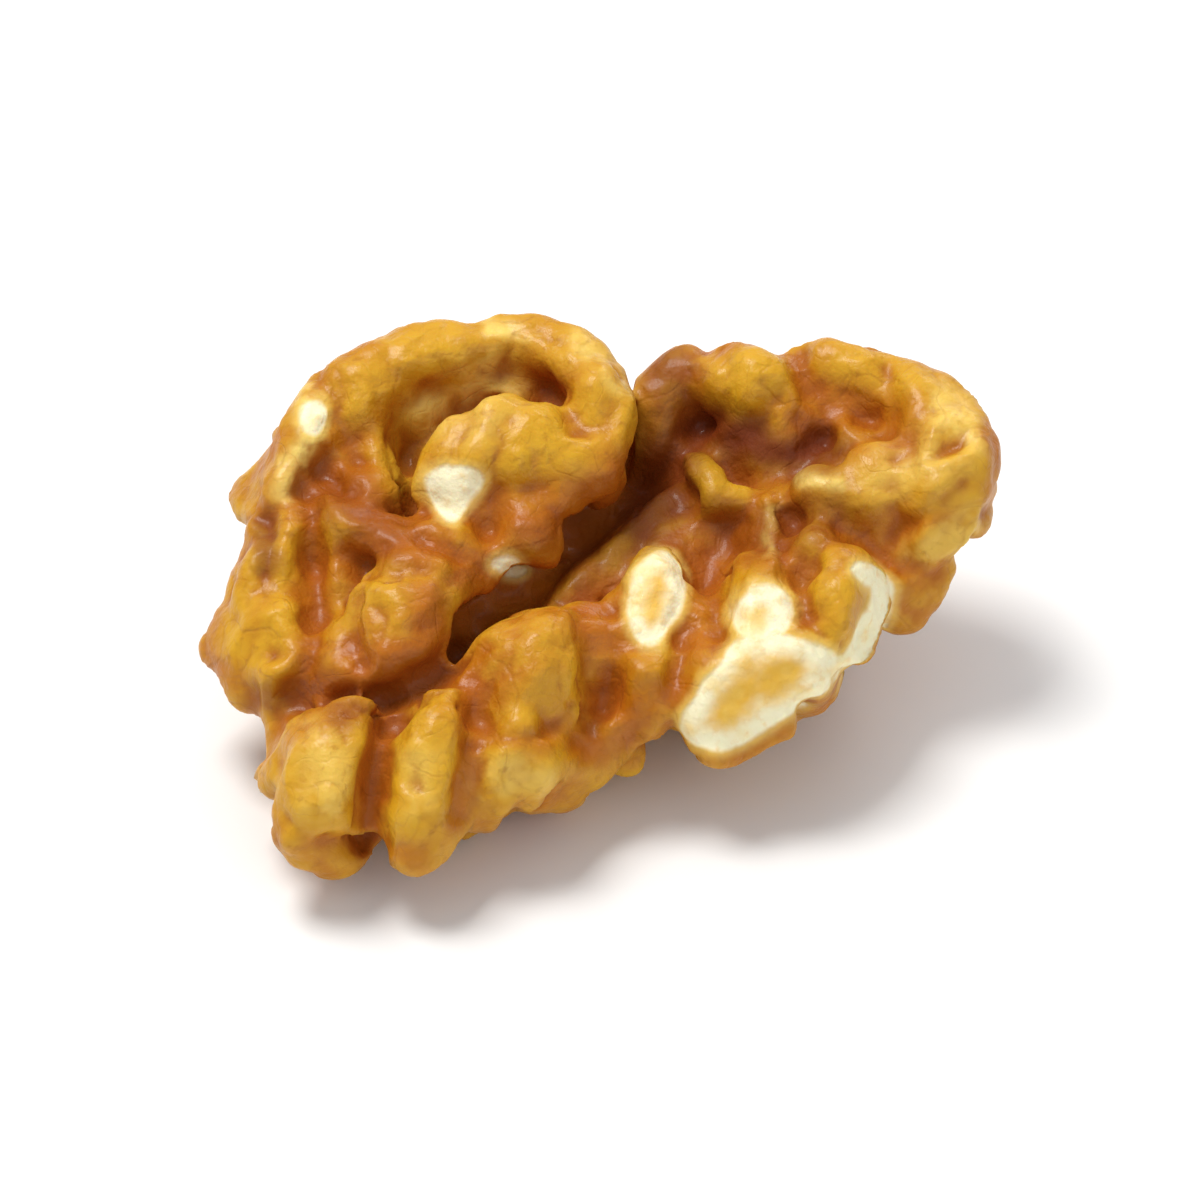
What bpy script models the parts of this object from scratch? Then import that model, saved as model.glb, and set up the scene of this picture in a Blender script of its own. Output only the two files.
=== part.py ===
"""One half of a shelled walnut kernel, lying on its rounded back with its folded inner face up.

The kernel grew as one piece, so it is one solid. Two thick lobes stand side by side with a deep furrow
between them. Their rims are plump folds that curl inwards on the inner face, and the back is a dome of
meandering folds.

Lengths in the tables are millimetres. The kernel frame has X to the right, Y away from the viewer and Z
out of the inner face, with the rims near Z = 0. The finished kernel is tipped a little towards the viewer
and set down on flat spots under its back.
"""

import math

import bmesh
import bpy
import numpy as np
from mathutils import Matrix, Vector, noise

MM = 0.001
SEEN_FROM = math.radians(55)  # how far above the inner face's plane the folds below were measured from
TIP_FORWARD = math.radians(14)  # the inner face leans this far towards the viewer at rest
REST_FLAT = 0.8  # depth of the flat spots under the lowest folds
VOXEL = 0.34  # the grain at which the folds are melted into one body
MOST_TRIANGLES = 9600
TUBE_SIDES = 4  # bevel resolution of a fold: 12 sides
FOLD_STEP = 0.45  # spacing of a fold's rings

# The rim's outline as seen square on to the inner face, anticlockwise from the right-hand end.
OUTLINE = [
    (16.0, 8.2), (15.8, 10.0), (14.2, 12.0), (11.0, 13.6), (7.4, 14.4), (4.2, 14.6), (1.6, 14.4),
    (-1.2, 14.7), (-4.6, 15.5), (-8.6, 15.1), (-12.4, 13.1), (-14.8, 10.4), (-15.8, 7.2), (-16.4, 3.6),
    (-17.0, 0.4), (-15.8, -3.0), (-15.0, -6.2), (-12.6, -8.4), (-8.4, -9.2), (-4.0, -7.6), (1.0, -4.6),
    (5.2, -4.0), (8.4, -3.0), (10.2, -0.8), (11.0, 2.6), (12.2, 5.8), (14.6, 7.2),
]
OUTLINE_CENTRE = Vector((-0.5, 6.4, 0.0))
RIM_DEPTH = 4.2  # the back starts curving in at this depth
BACK_DEPTH = 12.8
FACE_DEPTH = 4.6  # level of the solid meat between the folds
FOLD_SINK = 0.5  # the folds of the back lie this far into its dome
HOLLOW_RISE = 4.2  # how far a hollow's wall rises by its half width
PAD_SIZE = 3.6  # grain of the pads that cover the kernel
FACE_CRINKLE, BACK_CRINKLE = 0.7, 3.0
SEED = 11  # chooses how the folds wander

SKIN_COLOUR = (0.52, 0.27, 0.075, 1.0)

# Thick strands of solid meat under the folds, each point (x, y, z, radius) in the kernel frame.
MEAT = {
    "left_outer": [
        (-13.2, 2.0, -5.4, 2.6), (-12.2, 6.0, -5.2, 3.0), (-9.4, 10.0, -5.0, 3.2),
        (-5.4, 11.0, -4.9, 3.1),
        (-3.2, 9.0, -4.9, 3.0),
    ],
    "left_middle": [(-10.8, -1.2, -5.4, 3.0), (-8.0, 2.2, -5.2, 3.1), (-5.2, 6.2, -5.0, 3.2)],
    "right_outer": [
        (6.2, 11.6, -5.0, 2.8), (9.4, 10.8, -5.0, 3.0), (12.4, 8.0, -5.0, 3.0), (12.4, 6.0, -5.2, 2.8),
    ],
    "right_end": [(10.4, 4.6, -5.8, 2.3), (13.2, 7.2, -5.0, 2.2)],
    "left_end": [(-13.4, -2.6, -6.2, 2.2), (-11.4, -4.6, -6.6, 2.4), (-8.6, -4.2, -7.0, 2.4)],
    "right_inner": [(12.6, 5.2, -5.2, 2.6), (10.6, 4.2, -5.2, 2.6), (9.4, 3.2, -5.4, 2.6)],
    "right_middle": [
        (8.2, 6.6, -5.4, 3.0), (7.2, 2.2, -5.4, 3.0), (3.6, 0.2, -5.6, 2.8), (-1.6, -0.6, -5.8, 2.8),
        (-6.0, -3.0, -5.6, 2.8), (-10.6, -4.4, -5.6, 2.6),
    ],
    "near_flank": [
        (-12.4, -5.6, -6.0, 2.4), (-8.6, -6.2, -6.2, 2.6), (-4.4, -4.6, -6.6, 2.6),
        (0.0, -2.2, -7.2, 2.4),
    ],
}

# Folds of the inner face and of the near side. Each point is (across, up, height, radius): across and up
# as seen from SEEN_FROM above the face, height above the plane of the rims.
FOLDS = {
    # left lobe: the far rim curls over to the right and comes back as a fat inner fold
    "left_rim": [
        (-14.4, 4.2, -3.4, 1.6), (-13.7, 6.4, -2.7, 1.8), (-11.9, 8.5, -2.3, 1.8), (-9.2, 10.0, -2.0, 1.6),
        (-6.4, 10.8, -1.9, 1.4), (-3.6, 10.7, -1.8, 1.4), (-1.5, 9.7, -1.7, 1.6), (-0.7, 7.8, -1.8, 1.8),
        (-1.2, 5.9, -2.2, 1.9),
    ],
    "left_inner": [
        (-1.6, 5.4, -2.4, 2.0), (-3.3, 5.8, -1.9, 2.2), (-5.3, 6.0, -1.7, 2.2), (-6.6, 5.4, -1.7, 2.0),
        (-7.3, 4.3, -1.9, 1.5),
    ],
    "left_wing": [
        (-1.2, 5.2, -3.0, 1.4), (-2.4, 4.3, -2.8, 1.4), (-3.6, 3.0, -2.7, 1.3), (-4.6, 1.6, -2.7, 1.0),
    ],
    "left_belly": [(-1.8, 5.0, -3.0, 1.7), (-3.6, 4.4, -2.8, 1.8), (-5.4, 3.8, -2.8, 1.5)],
    "left_slope": [(-12.4, 6.2, -3.6, 1.7), (-11.0, 4.5, -3.9, 1.8), (-10.6, 2.8, -3.4, 1.4)],
    "left_cross": [
        (-15.2, 2.6, -3.9, 1.3), (-13.0, 2.6, -3.1, 1.5), (-10.4, 2.0, -2.8, 1.5),
        (-8.0, 1.4, -2.7, 1.4),
        (-6.4, 1.0, -3.0, 1.0),
    ],
    "left_block": [
        (-8.2, 0.2, -2.9, 1.8), (-9.2, -0.9, -2.7, 2.4), (-10.1, -2.5, -3.0, 2.5),
        (-11.1, -3.6, -3.5, 1.7),
    ],
    "left_block_knob": [(-12.1, -3.4, -3.8, 1.2), (-12.8, -4.2, -4.5, 1.2)],
    "left_foot": [
        (-14.3, 1.6, -4.0, 1.7), (-14.8, -0.4, -4.4, 1.9), (-15.2, -2.3, -5.2, 2.0),
        (-15.2, -3.8, -6.0, 1.9),
    ],
    "left_foot_inner": [(-12.3, 1.0, -3.8, 1.5), (-12.9, -1.2, -4.5, 1.6), (-13.4, -2.9, -5.2, 1.6)],
    "left_shoulder": [
        (-14.4, 6.4, -4.0, 1.2), (-14.8, 4.6, -4.3, 1.3), (-15.0, 2.8, -4.6, 1.4),
    ],
    # right lobe: a plump fold by the furrow, then a broad rim round a shallow basin
    "right_head": [
        (4.5, 9.2, -2.9, 1.5), (5.9, 9.2, -2.3, 1.8), (7.2, 8.6, -2.3, 1.7), (7.9, 7.5, -2.9, 1.3),
    ],
    "right_rim": [
        (7.9, 9.3, -2.6, 1.4), (10.0, 9.5, -2.4, 1.35), (12.2, 8.9, -2.1, 1.5), (13.9, 7.6, -1.9, 1.9),
        (14.6, 5.6, -1.9, 2.2), (14.3, 3.8, -2.2, 2.2), (13.7, 2.8, -2.9, 2.1), (12.6, 2.5, -3.6, 1.9),
    ],
    "right_mound": [
        (12.8, 4.3, -2.7, 2.2), (11.2, 4.2, -2.5, 2.0), (9.8, 4.0, -2.7, 1.6), (8.2, 4.1, -3.2, 1.1),
    ],
    "right_crescent": [(3.4, 5.4, -3.9, 0.7), (4.5, 4.3, -3.5, 1.0), (5.9, 3.9, -3.8, 0.7)],
    "right_thread": [(6.6, 3.4, -3.9, 0.7), (6.7, 1.6, -3.8, 0.8), (6.6, 0.2, -3.7, 0.8)],
    "right_oval": [(1.8, 0.5, -4.0, 1.3), (1.6, -0.5, -3.6, 1.7), (1.3, -1.7, -4.0, 1.5)],
    "right_knob": [(6.4, 0.4, -3.6, 1.4), (6.6, -1.1, -2.5, 1.7)],
    "right_cheek": [
        (9.0, 1.2, -3.2, 1.7), (9.8, -0.4, -2.9, 2.2), (9.2, -2.1, -3.4, 2.2),
    ],
    "right_heel": [
        (3.8, -4.7, -4.6, 2.0), (5.5, -4.0, -4.0, 2.6), (7.4, -3.1, -3.8, 2.5),
    ],
    # near rim, below the furrow
    "near_block": [
        (-1.6, -1.9, -3.7, 1.6), (-3.3, -3.0, -3.2, 2.4), (-4.1, -4.4, -3.6, 2.7), (-3.6, -5.6, -4.6, 2.6),
    ],
    "near_slope": [(0.6, -1.6, -4.2, 1.8), (0.8, -3.2, -4.1, 2.2), (1.2, -4.6, -5.2, 2.1)],
    "near_toe_right": [(-4.4, -6.8, -3.9, 2.1), (-4.7, -7.8, -4.6, 2.3), (-5.0, -8.2, -5.8, 2.1)],
    "near_toe_middle": [
        (-7.4, -6.3, -3.1, 1.9), (-8.0, -7.8, -3.6, 2.2), (-8.3, -9.2, -4.5, 2.3),
        (-8.2, -9.6, -5.6, 2.1),
    ],
    "near_toe_left": [
        (-11.4, -7.0, -3.3, 2.0), (-12.1, -8.0, -3.8, 2.4), (-12.3, -9.0, -4.6, 2.5),
        (-11.8, -9.3, -5.6, 2.3),
    ],
    "near_toe_web": [(-10.2, -8.6, -5.2, 1.9), (-10.2, -9.4, -5.8, 1.8)],
    "near_tip": [(-13.0, -7.0, -4.0, 1.8), (-13.4, -8.2, -4.8, 1.9)],
    # the isthmus at the far end of the furrow
    "isthmus": [(3.2, 9.2, -3.6, 1.5), (2.4, 8.6, -4.2, 1.4), (1.9, 7.8, -5.0, 1.3)],
}

# Hollows sunk into the meat before the folds are laid on it: (across, up, height of floor, half width).
HOLLOWS = {
    "furrow": [
        (4.0, 10.8, -4.6, 1.8), (3.4, 9.0, -5.6, 2.8), (2.0, 6.6, -6.2, 3.2), (0.4, 4.3, -6.2, 3.0),
        (-1.4, 2.0, -6.2, 2.4), (-3.1, 0.4, -6.0, 2.2), (-5.2, -1.3, -6.0, 2.0),
        (-7.0, -3.0, -6.0, 2.0),
        (-8.7, -4.4, -5.6, 1.7), (-10.9, -5.6, -4.8, 1.4), (-12.4, -6.0, -4.4, 1.0),
    ],
    "left_recess": [
        (-3.4, 7.2, -3.6, 1.0), (-4.8, 7.5, -3.9, 1.15), (-6.6, 7.3, -4.2, 1.3), (-8.2, 6.5, -4.5, 1.5),
        (-9.2, 5.2, -4.7, 1.7), (-9.2, 3.8, -4.7, 1.5), (-8.2, 3.0, -4.4, 1.2),
    ],
    "left_pit": [(-15.3, 2.2, -5.2, 1.0), (-15.2, 1.0, -5.4, 1.0)],
    "foot_gap": [(-12.3, 1.0, -5.0, 1.2), (-12.9, -1.2, -6.0, 1.5), (-13.2, -3.2, -7.0, 1.5)],
    "right_recess": [(4.6, 7.0, -4.8, 1.4), (6.9, 6.5, -4.8, 1.6), (8.7, 5.9, -4.2, 1.2)],
    "right_basin": [
        (8.8, 7.6, -3.8, 1.6), (10.6, 7.6, -4.0, 2.1), (12.2, 7.0, -3.8, 1.8),
    ],
    "right_hollow": [(4.4, 3.0, -4.2, 1.6), (6.2, 2.0, -4.1, 2.0), (7.8, 2.4, -3.8, 1.3)],
    "rim_notch": [(11.6, 0.6, -4.8, 1.0), (12.4, 0.2, -5.2, 1.2)],
}

# Creases drawn on the finished folds, as seen from SEEN_FROM: depth, half width, points (across, up).
CREASES = [
    (1.0, 0.55, [(-5.6, -4.0), (-5.9, -5.6), (-6.2, -7.6), (-6.5, -9.8)]),
    (1.2, 0.6, [(-9.4, -5.6), (-10.0, -6.8), (-10.3, -8.6), (-10.7, -10.8)]),
    (0.9, 0.55, [(0.0, -1.0), (0.0, -2.8), (-0.4, -4.6), (-1.6, -6.6)]),
    (0.9, 0.5, [(2.9, -1.6), (2.7, -3.2), (2.2, -4.8)]),
    (1.0, 0.5, [(8.4, 1.4), (8.0, -0.4), (8.9, -2.2), (10.6, -3.4)]),
    (1.1, 0.6, [(-13.4, 4.4), (-13.3, 2.2), (-13.0, -0.4), (-13.2, -2.6), (-13.8, -5.0)]),
    (0.9, 0.5, [(-12.8, 5.2), (-11.2, 3.6), (-9.6, 3.4), (-8.2, 2.2), (-6.6, 1.4)]),
    (0.8, 0.45, [(-11.6, 1.2), (-10.2, 0.6), (-8.8, 0.9), (-7.0, 0.4)]),
    (0.9, 0.5, [(-11.0, -3.4), (-11.7, -2.0), (-11.6, -0.2)]),
    (0.9, 0.5, [(-1.4, 7.2), (-2.4, 7.9), (-3.2, 8.6)]),
    (0.8, 0.45, [(-13.2, 9.2), (-12.0, 7.4), (-11.2, 5.6)]),
    (0.8, 0.45, [(8.2, 11.6), (7.9, 10.2), (8.6, 8.8)]),
    (0.8, 0.45, [(12.4, 10.8), (11.8, 9.2), (12.2, 7.8)]),
    (0.8, 0.45, [(16.4, 3.4), (15.0, 2.8), (13.4, 3.1), (12.0, 2.2)]),
    (0.7, 0.45, [(6.4, -4.2), (5.2, -3.2), (4.4, -1.8), (4.2, 0.0)]),
]

# Flat faces, the broken spots first and then the flat sides of plump folds, as seen from SEEN_FROM: place
# (across, up), radius, the face's normal (right, up, towards the viewer) and how much of the fold is gone.
FLATS = [
    ((6.3, -4.3), 3.6, (0.12, -0.5, 0.86), 1.0),
    ((1.5, -0.5), 2.6, (-0.1, 0.15, 0.98), 0.6),
    ((6.1, -1.4), 1.8, (0.0, 0.35, 0.94), 0.5),
    ((10.9, -1.4), 2.4, (0.85, -0.1, 0.5), 0.7),
    ((-7.2, 4.4), 1.9, (-0.5, -0.35, 0.8), 0.6),
    ((-4.9, 0.9), 1.2, (0.15, -0.4, 0.9), 0.4),
    ((-4.3, -3.0), 2.3, (-0.5, 0.3, 0.81), 0.5),
    ((-1.7, -4.4), 2.2, (0.5, -0.2, 0.84), 0.45),
    ((-4.9, -7.6), 1.8, (0.3, -0.35, 0.89), 0.4),
    ((-7.9, -7.3), 1.8, (-0.35, -0.1, 0.93), 0.4),
    ((-11.9, -8.0), 2.1, (-0.3, 0.2, 0.93), 0.45),
    ((-9.8, -1.4), 2.1, (-0.35, 0.3, 0.89), 0.45),
    ((-14.9, -1.6), 1.8, (-0.45, 0.1, 0.89), 0.4),
    ((6.2, 9.2), 1.8, (0.25, -0.3, 0.92), 0.4),
    ((14.6, 3.2), 2.2, (0.35, -0.35, 0.87), 0.5),
    ((13.6, 7.6), 2.2, (0.2, 0.25, 0.95), 0.45),
    ((-10.6, 9.0), 2.2, (-0.25, 0.2, 0.95), 0.4),
    ((-1.4, 8.4), 1.9, (0.35, 0.1, 0.93), 0.4),
]


def face_point(across, up, height):
    """Turn a place seen from SEEN_FROM above the inner face into the kernel frame."""
    return Vector((across, (up - height * math.cos(SEEN_FROM)) / math.sin(SEEN_FROM), height))


def seen(paths):
    """The paths measured from SEEN_FROM as lists of (x, y, z, radius) in the kernel frame."""
    return [[(*face_point(across, up, height), radius) for across, up, height, radius in knots]
            for knots in paths.values()]


def smooth_path(knots):
    """Points about FOLD_STEP apart on the Catmull-Rom curve through the knots (x, y, z, radius)."""
    knots = np.array(knots, float)
    ends = np.vstack([2 * knots[0] - knots[1], knots, 2 * knots[-1] - knots[-2]])
    rows = []
    for before, start, stop, after in zip(ends, ends[1:], ends[2:], ends[3:]):
        count = max(2, round(float(np.linalg.norm((stop - start)[:3])) / FOLD_STEP))
        for t in np.linspace(0, 1, count, endpoint=False):
            rows.append(0.5 * (2 * start + (stop - before) * t
                               + (2 * before - 5 * start + 4 * stop - after) * t ** 2
                               + (3 * start - before - 3 * stop + after) * t ** 3))
    rows.append(knots[-1])
    return np.array(rows)


def rounded(path):
    """The path with a half ball's rings added at both ends."""
    caps = []
    for end, inner in ((path[0], path[1]), (path[-1], path[-2])):
        place, radius = end[:3], end[3]
        outwards = (place - inner[:3]) / np.linalg.norm(place - inner[:3])
        rings = [(*(place + outwards * radius * math.sin(angle)), radius * math.cos(angle))
                 for angle in np.radians([25, 48, 68, 83])]
        caps.append(np.array(rings))
    return np.vstack([caps[0][::-1], path, caps[1]])


def outline_reach(bearing):
    """Distance from the outline's centre to the outline at this bearing."""
    spokes = sorted((math.atan2(y - OUTLINE_CENTRE.y, x - OUTLINE_CENTRE.x) % math.tau,
                     math.hypot(x - OUTLINE_CENTRE.x, y - OUTLINE_CENTRE.y)) for x, y in OUTLINE)
    bearings, reaches = zip(*spokes)
    return float(np.interp(bearing, bearings, reaches, period=math.tau))


def dome_point(bearing, share, inset):
    """A point of the back: share 0 at the rim and 1 at the bottom, set in from the surface by inset."""
    turn = share * math.pi / 2
    reach = (outline_reach(bearing) - inset) * math.cos(turn) ** 0.75
    depth = RIM_DEPTH + (BACK_DEPTH - inset - RIM_DEPTH) * math.sin(turn)
    return OUTLINE_CENTRE + Vector((math.cos(bearing) * reach, math.sin(bearing) * reach, -depth))


def back_folds():
    """Folds of the back: each starts at the rim and wanders down the dome towards its middle."""
    folds = []
    count = 18
    for k in range(count):
        bearing = math.tau * (k + 0.3 * math.sin(2.7 * k)) / count
        bend = 0.3 * math.sin(1.9 * k + 0.6)
        reach = 0.9 if k % 2 else 0.62
        knots = []
        for step in range(6):
            share = 0.02 + (reach - 0.02) * step / 5
            swing = bend * math.sin(math.pi * step / 5 * 1.6 + k) * (0.4 + share)
            radius = 1.8 + 0.35 * math.sin(2.2 * step + 1.3 * k)
            knots.append((*dome_point(bearing + swing, share, radius + FOLD_SINK), radius))
        folds.append(knots)
    return folds


def add_tubes(body, paths):
    """Add a round tube with rounded ends along each path of (x, y, z, radius)."""
    data = bpy.data.curves.new("fold_lines", "CURVE")
    data.dimensions = "3D"
    data.bevel_depth = MM
    data.bevel_resolution = TUBE_SIDES
    data.use_fill_caps = True
    for knots in paths:
        rows = rounded(smooth_path(knots))
        spline = data.splines.new("POLY")
        spline.points.add(len(rows) - 1)
        for point, (x, y, z, radius) in zip(spline.points, rows):
            point.co = (x * MM, y * MM, z * MM, 1.0)
            point.radius = max(float(radius), 0.02)
    curves = bpy.data.objects.new("fold_lines", data)
    bpy.context.scene.collection.objects.link(curves)
    graph = bpy.context.evaluated_depsgraph_get()
    mesh = bpy.data.meshes.new_from_object(curves.evaluated_get(graph))
    body.from_mesh(mesh)
    bpy.data.objects.remove(curves)
    bpy.data.meshes.remove(mesh)
    bmesh.ops.remove_doubles(body, verts=body.verts, dist=0.002 * MM)


def dome_meat(direction):
    """The place on the solid dome under all the folds that belongs to this direction of a unit ball."""
    bearing = math.atan2(direction.y, direction.x) % math.tau
    if direction.z < 0:
        return dome_point(bearing, math.asin(min(1.0, -direction.z)) * 2 / math.pi, 1.3)
    edge = dome_point(bearing, 0, 1.3)
    place = OUTLINE_CENTRE.lerp(edge, math.hypot(direction.x, direction.y))
    place.z = -RIM_DEPTH + (RIM_DEPTH - FACE_DEPTH) * min(1.0, 2 * direction.z)
    return place


def meat_mesh():
    """The solid dome and the strands of meat, which still cross each other."""
    body = bmesh.new()
    add_tubes(body, MEAT.values())
    ball = bmesh.ops.create_icosphere(body, subdivisions=5, radius=1.0)["verts"]
    for vert in ball:
        vert.co = dome_meat(vert.co) * MM
    bmesh.ops.recalc_face_normals(body, faces=body.faces)
    mesh = bpy.data.meshes.new("kernel_half")
    body.to_mesh(mesh)
    body.free()
    return mesh


def lay_folds(mesh):
    """Add the folds of the face and of the back to the meat's mesh."""
    body = bmesh.new()
    add_tubes(body, [*seen(FOLDS), *back_folds()])
    bmesh.ops.recalc_face_normals(body, faces=body.faces)
    body.from_mesh(mesh)
    body.to_mesh(mesh)
    body.free()


def apply_modifier(obj, kind, **settings):
    """Add a modifier with these settings and bake its result into the object's mesh."""
    modifier = obj.modifiers.new(kind.title(), kind)
    for name, value in settings.items():
        setattr(modifier, name, value)
    graph = bpy.context.evaluated_depsgraph_get()
    made = bpy.data.meshes.new_from_object(obj.evaluated_get(graph))
    obj.modifiers.clear()
    old, obj.data = obj.data, made
    bpy.data.meshes.remove(old)


def coordinates(mesh):
    """The mesh's vertices as an array in millimetres."""
    flat = np.empty(len(mesh.vertices) * 3)
    mesh.vertices.foreach_get("co", flat)
    return flat.reshape(-1, 3) / MM


def normals(mesh):
    """The mesh's vertex normals as an array."""
    flat = np.empty(len(mesh.vertices) * 3)
    mesh.vertices.foreach_get("normal", flat)
    return flat.reshape(-1, 3)


def move_to(mesh, places):
    """Set the mesh's vertices from an array in millimetres."""
    mesh.vertices.foreach_set("co", (places * MM).ravel())
    mesh.update()


def warp(mesh, size, amount):
    """Push every point by a smooth wandering field, so that no fold stays a regular tube."""
    places = coordinates(mesh)
    pushed = [noise.noise_vector(Vector(p) / size) for p in places]
    move_to(mesh, places + amount * np.array(pushed))


def sink_hollows(mesh):
    """Lower the inner face to the round floor of each hollow."""
    places = coordinates(mesh)
    for knots in seen(HOLLOWS):
        for x, y, floor, half_width in smooth_path(knots):
            share = np.hypot(places[:, 0] - x, places[:, 1] - y) / half_width
            limit = floor + HOLLOW_RISE * share ** 2.6
            over = (share < 1.4) & (places[:, 2] > limit)
            places[over, 2] = limit[over]
    move_to(mesh, places)


def draw_creases(mesh):
    """Press a sharp line into the surface that faces the viewer along each crease."""
    places, facing = coordinates(mesh), normals(mesh)
    up = places[:, 1] * math.sin(SEEN_FROM) + places[:, 2] * math.cos(SEEN_FROM)
    towards = np.clip(facing[:, 2] * math.sin(SEEN_FROM) - facing[:, 1] * math.cos(SEEN_FROM), 0, 1)
    push = np.zeros(len(places))
    for depth, half_width, points in CREASES:
        path = smooth_path([(x, y, 0, 0) for x, y in points])
        distance = np.full(len(places), np.inf)
        for x, y, *_ in path:
            distance = np.minimum(distance, np.hypot(places[:, 0] - x, up - y))
        push = np.maximum(push, depth * np.exp(-(distance / half_width) ** 1.5))
    move_to(mesh, places - (push * np.sqrt(towards))[:, None] * facing)


def flatten(mesh):
    """Cut the top of a fold off flat at each flat face."""
    places, facing = coordinates(mesh), normals(mesh)
    view_up = Vector((0, math.sin(SEEN_FROM), math.cos(SEEN_FROM)))
    towards = Vector((0, -math.cos(SEEN_FROM), math.sin(SEEN_FROM)))
    for (across, up), radius, (right, upwards, outwards), gone in FLATS:
        normal = (Vector((right, 0, 0)) + upwards * view_up + outwards * towards).normalized()
        spread = np.hypot(places[:, 0] - across, places @ view_up - up)
        near = (spread < radius) & (facing @ towards > 0.1)
        height = places @ normal
        level = height[near & (spread < 0.75 * radius)].max() - gone
        over = near & (height > level)
        places[over] -= (height[over] - level)[:, None] * np.array(normal)
    move_to(mesh, places)


def crinkle(mesh):
    """Raise pads with sharp winding valleys between them: deep on the back, shallow on the inner face."""
    places, facing = coordinates(mesh), normals(mesh)
    heights = np.empty(len(places))
    for row, place in enumerate(places):
        point = Vector(place)
        bent = point + 1.3 * noise.noise_vector(point / 6.0)
        heights[row] = abs(noise.noise(bent / PAD_SIZE)) ** 0.55 - 0.45
    back = np.clip((0.25 - facing[:, 2]) / 0.5, 0, 1) * np.clip((-2.0 - places[:, 2]) / 2.0, 0, 1)
    depth = FACE_CRINKLE + (BACK_CRINKLE - FACE_CRINKLE) * back
    move_to(mesh, places + (depth * heights)[:, None] * facing)


def keep_largest(mesh):
    """Drop every loose shell but the largest, such as the wall of a bubble inside the meat."""
    body = bmesh.new()
    body.from_mesh(mesh)
    left, shells = set(body.verts), []
    while left:
        shell, front = set(), [left.pop()]
        while front:
            vert = front.pop()
            shell.add(vert)
            for edge in vert.link_edges:
                other = edge.other_vert(vert)
                if other in left:
                    left.remove(other)
                    front.append(other)
        shells.append(shell)
    shells.sort(key=len)
    bmesh.ops.delete(body, geom=[vert for shell in shells[:-1] for vert in shell], context="VERTS")
    body.to_mesh(mesh)
    body.free()


def set_down(mesh):
    """Tip the kernel forward, rest it on small flat spots and centre it over the origin."""
    places = coordinates(mesh) @ np.array(Matrix.Rotation(TIP_FORWARD, 3, "X")).T
    low, high = places.min(axis=0), places.max(axis=0)
    places -= [(low[0] + high[0]) / 2, (low[1] + high[1]) / 2, low[2] + REST_FLAT]
    places[:, 2] = np.maximum(places[:, 2], 0)
    move_to(mesh, places)


def skin_material():
    """The kernel's amber skin."""
    material = bpy.data.materials.new("walnut_skin")
    material.use_nodes = True
    shader = material.node_tree.nodes["Principled BSDF"]
    shader.inputs["Base Color"].default_value = SKIN_COLOUR
    shader.inputs["Roughness"].default_value = 0.42
    shader.inputs["Metallic"].default_value = 0.0
    return material


def kernel_half():
    """Melt the folds and the meat into one body, roughen it, thin its mesh and set it down."""
    kernel = bpy.data.objects.new("kernel_half", meat_mesh())
    bpy.context.scene.collection.objects.link(kernel)
    apply_modifier(kernel, "REMESH", mode="VOXEL", voxel_size=VOXEL * MM)
    sink_hollows(kernel.data)
    lay_folds(kernel.data)
    warp(kernel.data, size=4.5, amount=0.45)
    apply_modifier(kernel, "REMESH", mode="VOXEL", voxel_size=VOXEL * MM)
    apply_modifier(kernel, "SMOOTH", factor=0.5, iterations=3)
    crinkle(kernel.data)
    draw_creases(kernel.data)
    flatten(kernel.data)
    apply_modifier(kernel, "REMESH", mode="VOXEL", voxel_size=VOXEL * MM)
    apply_modifier(kernel, "SMOOTH", factor=0.5, iterations=1)
    keep_largest(kernel.data)
    kernel.data.calc_loop_triangles()
    share = MOST_TRIANGLES / len(kernel.data.loop_triangles)
    apply_modifier(kernel, "DECIMATE", ratio=share, use_collapse_triangulate=True)
    set_down(kernel.data)
    kernel.data.shade_smooth()
    kernel.data.materials.append(skin_material())
    return kernel


def main():
    """Clear the scene and build the kernel."""
    noise.seed_set(SEED)
    for obj in list(bpy.data.objects):
        bpy.data.objects.remove(obj)
    kernel_half()


main()
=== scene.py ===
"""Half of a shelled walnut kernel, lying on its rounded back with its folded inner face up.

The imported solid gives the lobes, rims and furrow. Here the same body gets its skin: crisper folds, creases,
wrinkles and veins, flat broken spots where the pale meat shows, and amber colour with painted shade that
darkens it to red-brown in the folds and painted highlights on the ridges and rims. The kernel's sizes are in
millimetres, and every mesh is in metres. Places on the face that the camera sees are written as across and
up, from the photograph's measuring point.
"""

import sys
import logging
import math
from dataclasses import dataclass, field
from enum import Enum
from typing import Union

import bmesh
import bpy
import numpy as np
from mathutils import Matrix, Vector, noise
from mathutils.bvhtree import BVHTree


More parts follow.
